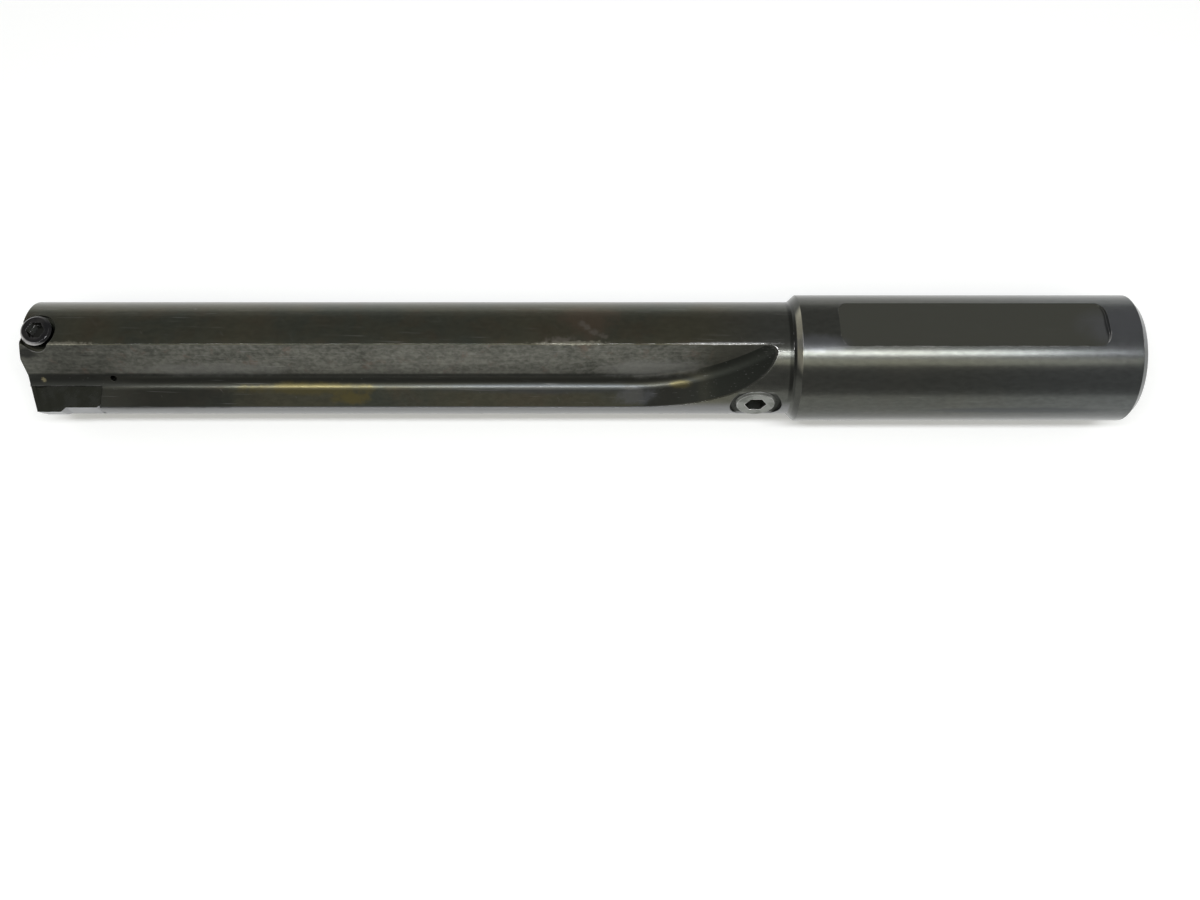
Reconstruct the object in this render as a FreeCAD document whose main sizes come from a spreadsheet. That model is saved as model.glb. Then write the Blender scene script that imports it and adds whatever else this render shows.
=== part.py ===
"""Indexable spade drill: a straight-fluted holder, a flat cutting blade in the slot at its nose,
two clamp screws and the plug of the side coolant port.

Frame, in millimetres: X runs along the tool, x = 0 where the full shank begins, the blade's point
towards -X and the end of the shank towards +X. The blade lies flat, so Z is square to its faces
and its width runs along Y. The holder's two flutes are half a turn apart about X.
"""
import FreeCAD, Part
import os
import Sketcher

os.makedirs("parts", exist_ok=True)
doc = FreeCAD.newDocument("SpadeDrill")
V = FreeCAD.Vector
X_AXIS = V(1, 0, 0)

# Driving sizes, millimetres and degrees
SIZES = [
    ("shank_diameter", 31.75),
    ("shank_length", 84.0),
    ("shank_chamfer", 1.5),
    ("shoulder_length", 1.9),
    ("body_diameter", 28.3),
    ("body_length", 190.1),
    ("nose_flat_diameter", 20.0),
    ("flat_angle", 14.5),
    ("flat_depth", 1.35),
    ("flat_length", 65.6),
    ("flat_width", 14.0),
    ("flat_corner_radius", 4.0),
    ("blade_diameter", 30.16),
    ("blade_thickness", 4.76),
    ("blade_length", 20.9),
    ("blade_tail_width", 27.9),
    ("blade_tail_chamfer", 0.8),
    ("point_angle", 140.0),
    ("lip_relief", 8.0),
    ("margin_length", 5.8),
    ("margin_relief", 0.8),
    ("lip_groove_radius", 3.0),
    ("lip_groove_depth", 0.35),
    ("lip_groove_setback", 2.3),
    ("lip_groove_start", 4.0),
    ("slot_depth", 18.0),
    ("slot_clearance", 0.02),
    ("flute_root_offset", 7.05),
    ("flute_floor_drop", 0.08),
    ("flute_wall_lean", 25.5),
    ("flute_root_radius", 3.5),
    ("flute_runout_setback", 40.1),
    ("flute_cutter_radius", 57.5),
    ("screw_offset", 2.0),
    ("screw_setback", 5.2),
    ("screw_diameter", 3.0),
    ("screw_head_diameter", 7.6),
    ("screw_head_height", 3.4),
    ("screw_head_chamfer", 0.5),
    ("screw_seat_depth", 3.0),
    ("screw_key_size", 3.97),
    ("screw_key_depth", 2.0),
    ("screw_reach", 2.6),
    ("screw_end_gap", 0.4),
    ("screw_hole_clearance", 0.1),
    ("screw_head_clearance", 0.8),
    ("thread_clearance", 0.03),
    ("plug_angle", 77.0),
    ("plug_setback", 8.5),
    ("plug_diameter", 10.3),
    ("plug_length", 6.0),
    ("plug_chamfer", 0.5),
    ("plug_stand_out", 0.55),
    ("plug_key_size", 4.76),
    ("plug_key_depth", 3.2),
    ("spotface_diameter", 12.9),
    ("spotface_depth", 0.95),
    ("duct_diameter", 6.5),
    ("duct_end_wall", 1.5),
    ("outlet_diameter", 1.6),
    ("outlet_angle", 62.0),
    ("inlet_diameter", 11.4),
    ("inlet_depth", 14.0),
    ("inlet_chamfer", 1.2),
    ("drill_point_angle", 118.0),
    ("overcut", 1.0),
]

sheet = doc.addObject("Spreadsheet::Sheet", "Sizes")
for row, (alias, value) in enumerate(SIZES, start=1):
    sheet.set("A%d" % row, alias.replace("_", " "))
    sheet.set("B%d" % row, str(value))
    sheet.setAlias("B%d" % row, alias)
doc.recompute()


def size(text):
    """The expression for a formula, in which each {name} is a cell of the sheet."""
    return text.replace("{", "Sizes.").replace("}", "")


def value(text):
    """The number that a formula has now, to start a sketch near its solution."""
    return float(sheet.evalExpression(size(text)))


# Levels that several pieces share, each worked out from the sheet
BODY_RADIUS = "({body_diameter} / 2)"
SHANK_RADIUS = "({shank_diameter} / 2)"
HALF_BLADE = "({blade_thickness} / 2)"
NOSE_X = "(-{shoulder_length} - {body_length})"
SLOT_END_X = "(%s + {slot_depth})" % NOSE_X
POINT_X = "(%s - {blade_length})" % SLOT_END_X
LIP_SLOPE = "tan(90 - {point_angle} / 2)"
LIP_DROP = "({blade_diameter} / 2 * %s)" % LIP_SLOPE
NOSE_SETBACK = "((%s - {nose_flat_diameter} / 2) * %s)" % (BODY_RADIUS, LIP_SLOPE)
RELIEF_SHIFT = "({blade_thickness} * tan({lip_relief}))"
SCREW_X = "(%s + {screw_setback})" % NOSE_X
SCREW_SEAT = "(%s - {screw_seat_depth})" % BODY_RADIUS
SCREW_HEAD_TOP = "(%s + {screw_head_height})" % SCREW_SEAT
SCREW_END = "(%s + {screw_reach})" % HALF_BLADE
SCREW_HOLE = "({screw_diameter} + 2 * {screw_hole_clearance})"
PLUG_X = "(-{shoulder_length} - {plug_setback})"
PLUG_TOP = "(%s - {spotface_depth} + {plug_stand_out})" % BODY_RADIUS
OUTLET_X = "(%s + {duct_end_wall} + {outlet_diameter})" % SLOT_END_X
BEYOND = "{shank_diameter}"
RUNOUT_TURN = 60.0


def new_body(label):
    """An empty body whose label names its piece and its file."""
    body = doc.addObject("PartDesign::Body", label)
    body.Label = label
    return body


def sketch_on(body, plane, name, offset=None, turn=None):
    """A sketch on one of the body's own planes.

    offset maps x, y or z of that plane to a formula, and turn is an axis in the plane's own
    directions and the formula for an angle about it.
    """
    sketch = body.newObject("Sketcher::SketchObject", name)
    feature = [f for f in body.Origin.OriginFeatures if f.Role == plane][0]
    sketch.AttachmentSupport = [(feature, "")]
    sketch.MapMode = "FlatFace"
    if turn:
        axis, angle = turn
        sketch.AttachmentOffset = FreeCAD.Placement(V(), FreeCAD.Rotation(axis, value(angle)))
        sketch.setExpression("AttachmentOffset.Rotation.Angle", size(angle))
    for direction, formula in (offset or {}).items():
        sketch.setExpression("AttachmentOffset.Base." + direction, size(formula))
    return sketch


def fix(sketch, geometry, end, x, y):
    """Hold one point of a sketch at a pair of formulas, measured from the sketch's origin."""
    for kind, formula in (("DistanceX", x), ("DistanceY", y)):
        if formula is None:
            continue
        index = sketch.addConstraint(
            Sketcher.Constraint(kind, -1, 1, geometry, end, value(formula)))
        sketch.setExpression("Constraints[%d]" % index, size(formula))


def closed_outline(sketch, corners):
    """Straight edges through the corners and back to the first, each corner a pair of formulas."""
    points = [V(value(x), value(y), 0) for x, y in corners]
    count = len(points)
    first = sketch.GeometryCount
    for i in range(count):
        sketch.addGeometry(Part.LineSegment(points[i], points[(i + 1) % count]), False)
    for i in range(count):
        sketch.addConstraint(
            Sketcher.Constraint("Coincident", first + i, 2, first + (i + 1) % count, 1))
    for i, (x, y) in enumerate(corners):
        fix(sketch, first + i, 1, x, y)


def turning_axis(sketch, start, end):
    """A construction line that a revolved feature turns about."""
    points = [V(value(x), value(y), 0) for x, y in (start, end)]
    index = sketch.addGeometry(Part.LineSegment(*points), True)
    fix(sketch, index, 1, *start)
    fix(sketch, index, 2, *end)


def circle(sketch, x, y, diameter):
    """A circle whose centre and diameter are formulas."""
    index = sketch.addGeometry(
        Part.Circle(V(value(x), value(y), 0), V(0, 0, 1), value(diameter) / 2), False)
    fix(sketch, index, 3, x, y)
    held = sketch.addConstraint(Sketcher.Constraint("Diameter", index, value(diameter)))
    sketch.setExpression("Constraints[%d]" % held, size(diameter))


def hexagon(sketch, across_flats):
    """The six corners of a key socket about the sketch's origin."""
    reach = "(%s / sqrt(3))" % across_flats
    closed_outline(sketch, [("%s * cos(%d)" % (reach, a), "%s * sin(%d)" % (reach, a))
                            for a in range(0, 360, 60)])


def pocket(body, name, sketch, length=None, both_ways=False, forwards=False):
    """A straight cut, against the sketch's normal unless it goes forwards or both ways."""
    cut = body.newObject("PartDesign::Pocket", name)
    cut.Profile = sketch
    cut.Type = 0
    cut.Midplane = both_ways
    cut.Reversed = forwards
    cut.setExpression("Length", size(length))
    return cut


def turned(body, kind, name, sketch, axis, angle=360.0, forwards=False):
    """A revolved solid or a revolved cut about an axis of its sketch."""
    feature = body.newObject("PartDesign::" + kind, name)
    feature.Profile = sketch
    feature.ReferenceAxis = (sketch, [axis])
    feature.Angle = angle
    feature.Reversed = forwards
    return feature


def paired(body, name, features):
    """The same features again, half a turn about the tool's axis."""
    pattern = body.newObject("PartDesign::PolarPattern", name)
    pattern.Originals = features
    axis = [f for f in body.Origin.OriginFeatures if f.Role == "X_Axis"][0]
    pattern.Axis = (axis, [""])
    pattern.Angle = 360
    pattern.Occurrences = 2
    body.Tip = pattern
    return pattern


def holder():
    """One steel bar: nose with the blade's slot, two flutes that run out, shoulder and shank."""
    body = new_body("holder")

    blank = sketch_on(body, "XY_Plane", "blank_outline")
    closed_outline(blank, [
        (NOSE_X, "0"),
        (NOSE_X, "{nose_flat_diameter} / 2"),
        ("%s + %s" % (NOSE_X, NOSE_SETBACK), BODY_RADIUS),
        ("-{shoulder_length}", BODY_RADIUS),
        ("0", SHANK_RADIUS),
        ("{shank_length} - {shank_chamfer}", SHANK_RADIUS),
        ("{shank_length}", "%s - {shank_chamfer}" % SHANK_RADIUS),
        ("{shank_length}", "0"),
    ])
    turned(body, "Revolution", "blank", blank, "H_Axis")
    doc.recompute()

    # The flute's section: a flat wall that leans over the blade, a rounded root and a flat floor.
    lean = "{flute_wall_lean}"
    floor = "(%s - {flute_floor_drop})" % HALF_BLADE
    tangent = "({flute_root_radius} / tan(45 + %s / 2))" % lean
    wall_top = BEYOND
    far_side = "(-%s)" % BEYOND

    def up_the_wall(distance):
        """A point of the wall, so far up from the sharp corner that the root rounds off."""
        return ("-{flute_root_offset} + %s * sin(%s)" % (distance, lean),
                "%s + %s * cos(%s)" % (floor, distance, lean))

    def flute_section(name):
        sketch = sketch_on(body, "YZ_Plane", name,
                           {"z": "-{shoulder_length} - {flute_runout_setback}"})
        root = ("-{flute_root_offset} - %s" % tangent, floor)
        corners = [up_the_wall(wall_top), up_the_wall(tangent), root, (far_side, floor),
                   (far_side, up_the_wall(wall_top)[1])]
        centre = (root[0], "%s + {flute_root_radius}" % floor)
        points = [V(value(x), value(y), 0) for x, y in corners]
        middle = V(value(centre[0]), value(centre[1]), 0)
        outward = (points[1] - middle) + (points[2] - middle)
        outward.normalize()
        halfway = middle + outward * value("{flute_root_radius}")
        sketch.addGeometry(Part.LineSegment(points[0], points[1]), False)
        sketch.addGeometry(Part.Arc(points[2], halfway, points[1]), False)
        sketch.addGeometry(Part.LineSegment(points[2], points[3]), False)
        sketch.addGeometry(Part.LineSegment(points[3], points[4]), False)
        sketch.addGeometry(Part.LineSegment(points[4], points[0]), False)
        for one, other in (((0, 2), (1, 2)), ((1, 1), (2, 1)), ((2, 2), (3, 1)), ((3, 2), (4, 1)),
                           ((4, 2), (0, 1))):
            sketch.addConstraint(Sketcher.Constraint("Coincident", *one, *other))
        fix(sketch, 0, 1, *corners[0])
        fix(sketch, 1, 3, *centre)
        fix(sketch, 0, 2, *corners[1])
        fix(sketch, 2, 1, corners[2][0], None)
        fix(sketch, 2, 2, *corners[3])
        fix(sketch, 3, 2, *corners[4])
        return sketch

    straight = pocket(body, "flute", flute_section("flute_section"),
                      "{body_length} + %s" % BEYOND)
    doc.recompute()

    # The side cutter lifts out on its own radius, in the plane of the flute's wall.
    runout_section = flute_section("runout_section")
    pivot = up_the_wall("{flute_cutter_radius}")
    turning_axis(runout_section, pivot,
                 (pivot[0] + " - {overcut} * cos(%s)" % lean, pivot[1] + " + {overcut} * sin(%s)" % lean))
    runout = turned(body, "Groove", "runout", runout_section, "Axis0", RUNOUT_TURN)
    doc.recompute()
    paired(body, "both_flutes", [straight, runout])
    doc.recompute()

    # The blade's slot, open at the nose and at both sides.
    slot = sketch_on(body, "XZ_Plane", "slot_outline")
    slot_half = "(%s + {slot_clearance})" % HALF_BLADE
    closed_outline(slot, [
        ("%s - {overcut}" % NOSE_X, "-" + slot_half),
        (SLOT_END_X, "-" + slot_half),
        (SLOT_END_X, slot_half),
        ("%s - {overcut}" % NOSE_X, slot_half),
    ])
    body.Tip = pocket(body, "blade_slot", slot, BEYOND + " * 2", both_ways=True)
    doc.recompute()

    # Each clamp screw: a head seat in the near jaw, a hole through it, a blind thread in the far jaw.
    def from_above(name, level, diameter, length):
        sketch = sketch_on(body, "XY_Plane", name, {"z": level})
        circle(sketch, SCREW_X, "{screw_offset}", diameter)
        return pocket(body, name + "_cut", sketch, length)

    seat = from_above("head_seat", BEYOND,
                      "{screw_head_diameter} + 2 * {screw_head_clearance}",
                      "%s - %s" % (BEYOND, SCREW_SEAT))
    near = from_above("near_hole", SCREW_SEAT + " + {overcut}", SCREW_HOLE, SCREW_SEAT + " + {overcut}")
    far = from_above("far_thread", "0", "{screw_diameter} + 2 * {thread_clearance}",
                     "%s + {screw_end_gap}" % SCREW_END)
    doc.recompute()
    paired(body, "both_screw_holes", [seat, near, far])
    doc.recompute()

    # The long flat on the shank.
    level = "(%s - {flat_depth})" % SHANK_RADIUS
    flat = sketch_on(body, "XY_Plane", "flat_outline",
                     {"y": "%s * sin({flat_angle})" % level, "z": "%s * cos({flat_angle})" % level},
                     (X_AXIS, "-{flat_angle}"))
    start = "(({shank_length} - {flat_length}) / 2)"
    rounded_rectangle(flat, start, start + " + {flat_length}", "{flat_width} / 2",
                      "{flat_corner_radius}")
    body.Tip = pocket(body, "shank_flat", flat, BEYOND, forwards=True)
    doc.recompute()

    # The side coolant port: a spotface, and the thread down to the duct.
    def on_the_port(name, distance):
        return sketch_on(body, "XY_Plane", name,
                         {"y": "-%s * sin({plug_angle})" % distance,
                          "z": "%s * cos({plug_angle})" % distance},
                         (X_AXIS, "{plug_angle}"))

    spotface = on_the_port("spotface_outline", BODY_RADIUS)
    circle(spotface, PLUG_X, "0", "{spotface_diameter}")
    pocket(body, "spotface", spotface, "{spotface_depth}")
    doc.recompute()
    port = on_the_port("port_outline", BODY_RADIUS)
    circle(port, PLUG_X, "0", "{plug_diameter} + 2 * {thread_clearance}")
    body.Tip = pocket(body, "side_port", port, BODY_RADIUS)
    doc.recompute()

    # The coolant duct, with its threaded inlet in the end of the shank and a drill point at the nose.
    duct = sketch_on(body, "XZ_Plane", "duct_outline")
    duct_end = "(%s + {duct_end_wall})" % SLOT_END_X
    duct_radius = "({duct_diameter} / 2)"
    inlet_radius = "({inlet_diameter} / 2)"
    inlet_end = "({shank_length} - {inlet_depth})"
    drill_slope = "tan(90 - {drill_point_angle} / 2)"
    closed_outline(duct, [
        (duct_end, "0"),
        ("%s + %s * %s" % (duct_end, duct_radius, drill_slope), duct_radius),
        ("%s - (%s - %s) * %s" % (inlet_end, inlet_radius, duct_radius, drill_slope), duct_radius),
        (inlet_end, inlet_radius),
        ("{shank_length} - {inlet_chamfer}", inlet_radius),
        ("{shank_length} + {overcut}", "%s + {inlet_chamfer} + {overcut}" % inlet_radius),
        ("{shank_length} + {overcut}", "0"),
    ])
    body.Tip = turned(body, "Groove", "coolant_duct", duct, "H_Axis")
    doc.recompute()

    # A small outlet beside the blade's tail in each flute, drilled into the end of the duct.
    outlet = sketch_on(body, "XY_Plane", "outlet_outline",
                       {"y": "-%s * sin({outlet_angle})" % BODY_RADIUS,
                        "z": "%s * cos({outlet_angle})" % BODY_RADIUS},
                       (X_AXIS, "{outlet_angle}"))
    circle(outlet, OUTLET_X, "0", "{outlet_diameter}")
    drilled = pocket(body, "outlet", outlet, BODY_RADIUS)
    doc.recompute()
    paired(body, "both_outlets", [drilled])
    return body


def rounded_rectangle(sketch, left, right, half_width, radius):
    """A rectangle about the sketch's X axis, each corner an arc of one radius."""
    x0, x1, w, r = (value(text) for text in (left, right, half_width, radius))
    corner = 0.5 ** 0.5 * r
    corners = [(x0 + r, -w + r, -1, -1), (x1 - r, -w + r, 1, -1),
               (x1 - r, w - r, 1, 1), (x0 + r, w - r, -1, 1)]
    formulas = [("%s + %s" % (left, radius), "-(%s) + %s" % (half_width, radius)),
                ("%s - %s" % (right, radius), "-(%s) + %s" % (half_width, radius)),
                ("%s - %s" % (right, radius), "%s - %s" % (half_width, radius)),
                ("%s + %s" % (left, radius), "%s - %s" % (half_width, radius))]
    sides = [(V(x0 + r, -w, 0), V(x1 - r, -w, 0)), (V(x1, -w + r, 0), V(x1, w - r, 0)),
             (V(x1 - r, w, 0), V(x0 + r, w, 0)), (V(x0, w - r, 0), V(x0, -w + r, 0))]
    for start, end in sides:
        sketch.addGeometry(Part.LineSegment(start, end), False)
    for index, (x, y, toward_x, toward_y) in enumerate(corners):
        before = sides[index - 1][1]
        after = sides[index][0]
        halfway = V(x + toward_x * corner, y + toward_y * corner, 0)
        sketch.addGeometry(Part.Arc(before, halfway, after), False)
    for index in range(4):
        arc = 4 + index
        arc_start = 1 if sketch.Geometry[arc].StartPoint.distanceToPoint(sides[index - 1][1]) < 1e-6 else 2
        sketch.addConstraint(Sketcher.Constraint("Tangent", (index - 1) % 4, 2, arc, arc_start))
        sketch.addConstraint(Sketcher.Constraint("Tangent", index, 1, arc, 3 - arc_start))
    for index, (x, y) in enumerate(formulas):
        fix(sketch, 4 + index, 3, x, y)
    held = sketch.addConstraint(Sketcher.Constraint("Radius", 4, r))
    sketch.setExpression("Constraints[%d]" % held, size(radius))


def blade():
    """The flat cutting blade: two lips half a turn apart, short margins and a tail for the slot."""
    body = new_body("spade_blade")
    radius = "({blade_diameter} / 2)"
    tail = "({blade_tail_width} / 2)"
    corner_x = "(%s + %s)" % (POINT_X, LIP_DROP)
    chisel_y = "(%s / (2 * %s))" % (RELIEF_SHIFT, LIP_SLOPE)
    chisel_x = "(%s + %s / 2)" % (POINT_X, RELIEF_SHIFT)
    margin_x = "(%s + {margin_length})" % corner_x

    def face(name, level, side):
        """The outline of one face: side is the sign of Y on which its cutting lip lies."""
        relieved = "(%s - {margin_relief})" % radius
        lip, back = ("", "-") if side > 0 else ("-", "")
        sketch = sketch_on(body, "XY_Plane", name, {"z": level})
        tail_x = "(%s - {blade_tail_chamfer})" % SLOT_END_X
        ring = [
            (chisel_x, "%s%s" % (lip, chisel_y)),
            (corner_x, "%s%s" % (lip, radius)),
            (margin_x, "%s%s" % (lip, radius)),
            (margin_x + " + (%s - %s)" % (radius, tail), "%s%s" % (lip, tail)),
            (tail_x, "%s%s" % (lip, tail)),
            (SLOT_END_X, "%s(%s - {blade_tail_chamfer})" % (lip, tail)),
            (SLOT_END_X, "%s(%s - {blade_tail_chamfer})" % (back, tail)),
            (tail_x, "%s%s" % (back, tail)),
            (margin_x + " + (%s - %s)" % (radius, tail), "%s%s" % (back, tail)),
            (margin_x, "%s%s" % (back, relieved)),
            (corner_x + " + %s" % RELIEF_SHIFT, "%s%s" % (back, relieved)),
        ]
        if side < 0:
            ring = [ring[0]] + ring[:0:-1]
        closed_outline(sketch, ring)
        return sketch

    lower = face("lower_face", "-" + HALF_BLADE, 1)
    upper = face("upper_face", HALF_BLADE, -1)
    plate = body.newObject("PartDesign::AdditiveLoft", "plate")
    plate.Profile = lower
    plate.Sections = [upper]
    plate.Ruled = True
    doc.recompute()

    # A shallow round groove behind each lip curls the chip.
    groove = sketch_on(body, "XY_Plane", "lip_groove_section",
                       {"z": "%s + {lip_groove_radius} - {lip_groove_depth}" % HALF_BLADE})
    lip_angle = "(90 - {point_angle} / 2)"

    def along_lip(distance, inset):
        """A point so far along the upper face's lip from the point, and so far behind it."""
        return ("%s + %s * sin(%s) + (%s) * cos(%s)" % (POINT_X, distance, lip_angle, inset, lip_angle),
                "-(%s * cos(%s)) + (%s) * sin(%s)" % (distance, lip_angle, inset, lip_angle))

    near, far = "{lip_groove_start}", "({blade_diameter} / 2 + 2 * {overcut})"
    axis_inset = "{lip_groove_setback}"
    rim_inset = "{lip_groove_setback} - {lip_groove_radius}"
    closed_outline(groove, [along_lip(near, axis_inset), along_lip(far, axis_inset),
                            along_lip(far, rim_inset), along_lip(near, rim_inset)])
    turning_axis(groove, along_lip(near, axis_inset), along_lip(far, axis_inset))
    cut = turned(body, "Groove", "lip_groove", groove, "Axis0")
    doc.recompute()

    hole = sketch_on(body, "XY_Plane", "screw_hole_outline")
    circle(hole, SCREW_X, "{screw_offset}", SCREW_HOLE)
    drilled = pocket(body, "screw_hole", hole, BEYOND, both_ways=True)
    doc.recompute()
    paired(body, "both_lips", [cut, drilled])
    return body


def clamp_screw(label, upside_down):
    """A low socket-head screw, its head in one jaw and its thread in the other."""
    body = new_body(label)
    head_radius = "({screw_head_diameter} / 2)"
    shank_radius = "({screw_diameter} / 2)"
    outline = sketch_on(body, "XZ_Plane", label + "_outline")
    closed_outline(outline, [
        ("0", "-" + SCREW_END),
        ("%s - {screw_head_chamfer}" % shank_radius, "-" + SCREW_END),
        (shank_radius, "-%s + {screw_head_chamfer}" % SCREW_END),
        (shank_radius, SCREW_SEAT),
        (head_radius, SCREW_SEAT),
        (head_radius, "%s - {screw_head_chamfer}" % SCREW_HEAD_TOP),
        ("%s - {screw_head_chamfer}" % head_radius, SCREW_HEAD_TOP),
        ("0", SCREW_HEAD_TOP),
    ])
    turned(body, "Revolution", label + "_turned", outline, "V_Axis")
    doc.recompute()
    socket = sketch_on(body, "XY_Plane", label + "_socket", {"z": SCREW_HEAD_TOP})
    hexagon(socket, "{screw_key_size}")
    body.Tip = pocket(body, label + "_key_socket", socket, "{screw_key_depth}")
    body.Placement = FreeCAD.Placement(V(), FreeCAD.Rotation(X_AXIS, 180 if upside_down else 0))
    body.setExpression("Placement.Base.x", size(SCREW_X))
    body.setExpression("Placement.Base.y", size(("-" if upside_down else "") + "{screw_offset}"))
    return body


def side_plug():
    """The threaded plug that closes the side coolant port."""
    body = new_body("side_plug")
    radius = "({plug_diameter} / 2)"
    outline = sketch_on(body, "XZ_Plane", "plug_outline")
    closed_outline(outline, [
        ("0", "%s - {plug_length}" % PLUG_TOP),
        ("%s - {plug_chamfer}" % radius, "%s - {plug_length}" % PLUG_TOP),
        (radius, "%s - {plug_length} + {plug_chamfer}" % PLUG_TOP),
        (radius, "%s - {plug_chamfer}" % PLUG_TOP),
        ("%s - {plug_chamfer}" % radius, PLUG_TOP),
        ("0", PLUG_TOP),
    ])
    turned(body, "Revolution", "plug_turned", outline, "V_Axis")
    doc.recompute()
    socket = sketch_on(body, "XY_Plane", "plug_socket", {"z": PLUG_TOP})
    hexagon(socket, "{plug_key_size}")
    body.Tip = pocket(body, "plug_key_socket", socket, "{plug_key_depth}")
    body.Placement = FreeCAD.Placement(V(), FreeCAD.Rotation(X_AXIS, value("{plug_angle}")))
    body.setExpression("Placement.Rotation.Angle", size("{plug_angle}"))
    body.setExpression("Placement.Base.x", size(PLUG_X))
    return body


pieces = [
    holder(),
    blade(),
    clamp_screw("clamp_screw_upper", False),
    clamp_screw("clamp_screw_lower", True),
    side_plug(),
]
doc.recompute()

for item in doc.Objects:
    if "Invalid" in item.State or "Error" in item.State:
        raise RuntimeError("%s did not build: %s" % (item.Label, item.State))
for piece in pieces:
    if piece.Shape.isNull() or not piece.Shape.isValid() or len(piece.Shape.Solids) != 1:
        raise RuntimeError("%s is not one valid solid" % piece.Label)
for piece in pieces:
    piece.Shape.exportStep("parts/%s.step" % piece.Label)
    box = piece.Shape.BoundBox
    print("%-18s %9.1f mm3  x %7.2f %7.2f  y %6.2f %6.2f  z %6.2f %6.2f" % (
        piece.Label, piece.Shape.Volume, box.XMin, box.XMax, box.YMin, box.YMax, box.ZMin, box.ZMax))
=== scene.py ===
# %% [markdown]
# An indexable spade drill, lying on a pale table and seen from almost straight above.
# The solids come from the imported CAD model, and this script gives them their steel, their wear
# and a small studio. Every length is in metres once it reaches Blender, so sizes that are easier
# to read in millimetres pass through mm().

# %% Load the drill
import math
import bmesh
import bpy
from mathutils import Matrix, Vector


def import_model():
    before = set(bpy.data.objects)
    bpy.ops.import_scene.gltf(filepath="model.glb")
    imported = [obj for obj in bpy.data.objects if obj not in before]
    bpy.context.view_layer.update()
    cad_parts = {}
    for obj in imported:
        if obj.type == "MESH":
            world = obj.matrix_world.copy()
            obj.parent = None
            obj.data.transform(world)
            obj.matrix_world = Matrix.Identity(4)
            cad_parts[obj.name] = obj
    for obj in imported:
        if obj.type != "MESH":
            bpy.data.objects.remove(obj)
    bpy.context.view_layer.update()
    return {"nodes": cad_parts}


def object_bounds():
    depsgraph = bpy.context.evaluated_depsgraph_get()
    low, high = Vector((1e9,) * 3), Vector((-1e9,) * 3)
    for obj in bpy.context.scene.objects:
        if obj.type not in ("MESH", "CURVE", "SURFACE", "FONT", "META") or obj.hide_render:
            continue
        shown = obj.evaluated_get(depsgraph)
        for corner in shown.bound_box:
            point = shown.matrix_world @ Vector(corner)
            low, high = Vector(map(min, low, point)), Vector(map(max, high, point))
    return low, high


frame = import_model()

nodes = frame["nodes"]
print("nodes:", sorted(nodes))

# %% [markdown]
# The drill's axis is the X axis. The shank begins at 0 and points towards +X, and the blade lies
# flat, so +Z looks at its upper face. These few values repeat the CAD model's own sizes, and the
# tool rests on the lowest point of its box.

# %% Places on the drill
def mm(length):
    """A length in millimetres, as Blender's metres."""
    return length / 1000.0


SHANK_END = mm(84.0)
WALL_LEAN = math.radians(25.5)
FLAT_TURN = math.radians(14.5)
TABLE_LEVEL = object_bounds()[0].z
print("table at %.2f mm" % (TABLE_LEVEL * 1000))

# %% [markdown]
# Most of the nodes below are made in the same three steps: make the node, fill in its sockets,
# link what comes from another node. One helper does that, so that a material reads as a recipe.
# A socket is named in words, or by its place where several share a name, as a Mix node's do.

# %% Helpers for nodes
def add_node(tree, kind, settings=None, sockets=None):
    """A new node, its own settings, and its sockets filled with values or linked to outputs."""
    made = tree.nodes.new(kind)
    for name, value in (settings or {}).items():
        setattr(made, name, value)
    for name, value in (sockets or {}).items():
        if isinstance(value, bpy.types.NodeSocket):
            tree.links.new(value, made.inputs[name])
        else:
            made.inputs[name].default_value = value
    return made


def calculate(tree, operation, first, second=0.0, clamp=False):
    """One arithmetic step on two values, as an output socket."""
    made = add_node(tree, "ShaderNodeMath", {"operation": operation, "use_clamp": clamp},
                    {0: first, 1: second})
    return made.outputs[0]


# Where a Mix node that works on colours keeps its sockets.
MIX_AMOUNT, MIX_FIRST, MIX_SECOND, MIXED_COLOUR = 0, 6, 7, 2


def mix_colours(tree, amount, first, second, blend="MIX"):
    """The first colour, going over to the second as the amount goes from 0 to 1."""
    made = add_node(tree, "ShaderNodeMix", {"data_type": "RGBA", "blend_type": blend},
                    {MIX_AMOUNT: amount, MIX_FIRST: first, MIX_SECOND: second})
    return made.outputs[MIXED_COLOUR]


def remap(tree, value, from_low, from_high, to_low=0.0, to_high=1.0):
    """A value moved softly from one range to another and held inside it."""
    made = add_node(tree, "ShaderNodeMapRange", {"interpolation_type": "SMOOTHSTEP"},
                    {"Value": value, "From Min": from_low, "From Max": from_high,
                     "To Min": to_low, "To Max": to_high})
    return made.outputs["Result"]


print("node helpers:", [helper.__name__ for helper in (add_node, calculate, mix_colours, remap)])

# %% [markdown]
# Effects that are used more than once are node groups. Each gets its inputs and outputs through
# the tree's interface, and each puts out a value between 0 and 1 that a material then uses.

# %% A helper that starts a node group
def start_group(name, inputs, output="Mask"):
    """An empty shader group, with float or vector inputs and one float output."""
    tree = bpy.data.node_groups.new(name, "ShaderNodeTree")
    for label, value in inputs.items():
        kind = "NodeSocketFloat" if isinstance(value, (int, float)) else "NodeSocketVector"
        socket = tree.interface.new_socket(label, in_out="INPUT", socket_type=kind)
        socket.default_value = value
    tree.interface.new_socket(output, in_out="OUTPUT", socket_type="NodeSocketFloat")
    return tree, tree.nodes.new("NodeGroupInput"), tree.nodes.new("NodeGroupOutput")


def place_group(tree, group, **sockets):
    """One copy of a group in a material; a socket's spaces are written as underscores."""
    filled = {name.replace("_", " "): value for name, value in sockets.items()}
    made = add_node(tree, "ShaderNodeGroup", {"node_tree": group}, filled)
    return made.outputs[0]


print("groups so far:", len(bpy.data.node_groups))

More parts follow.
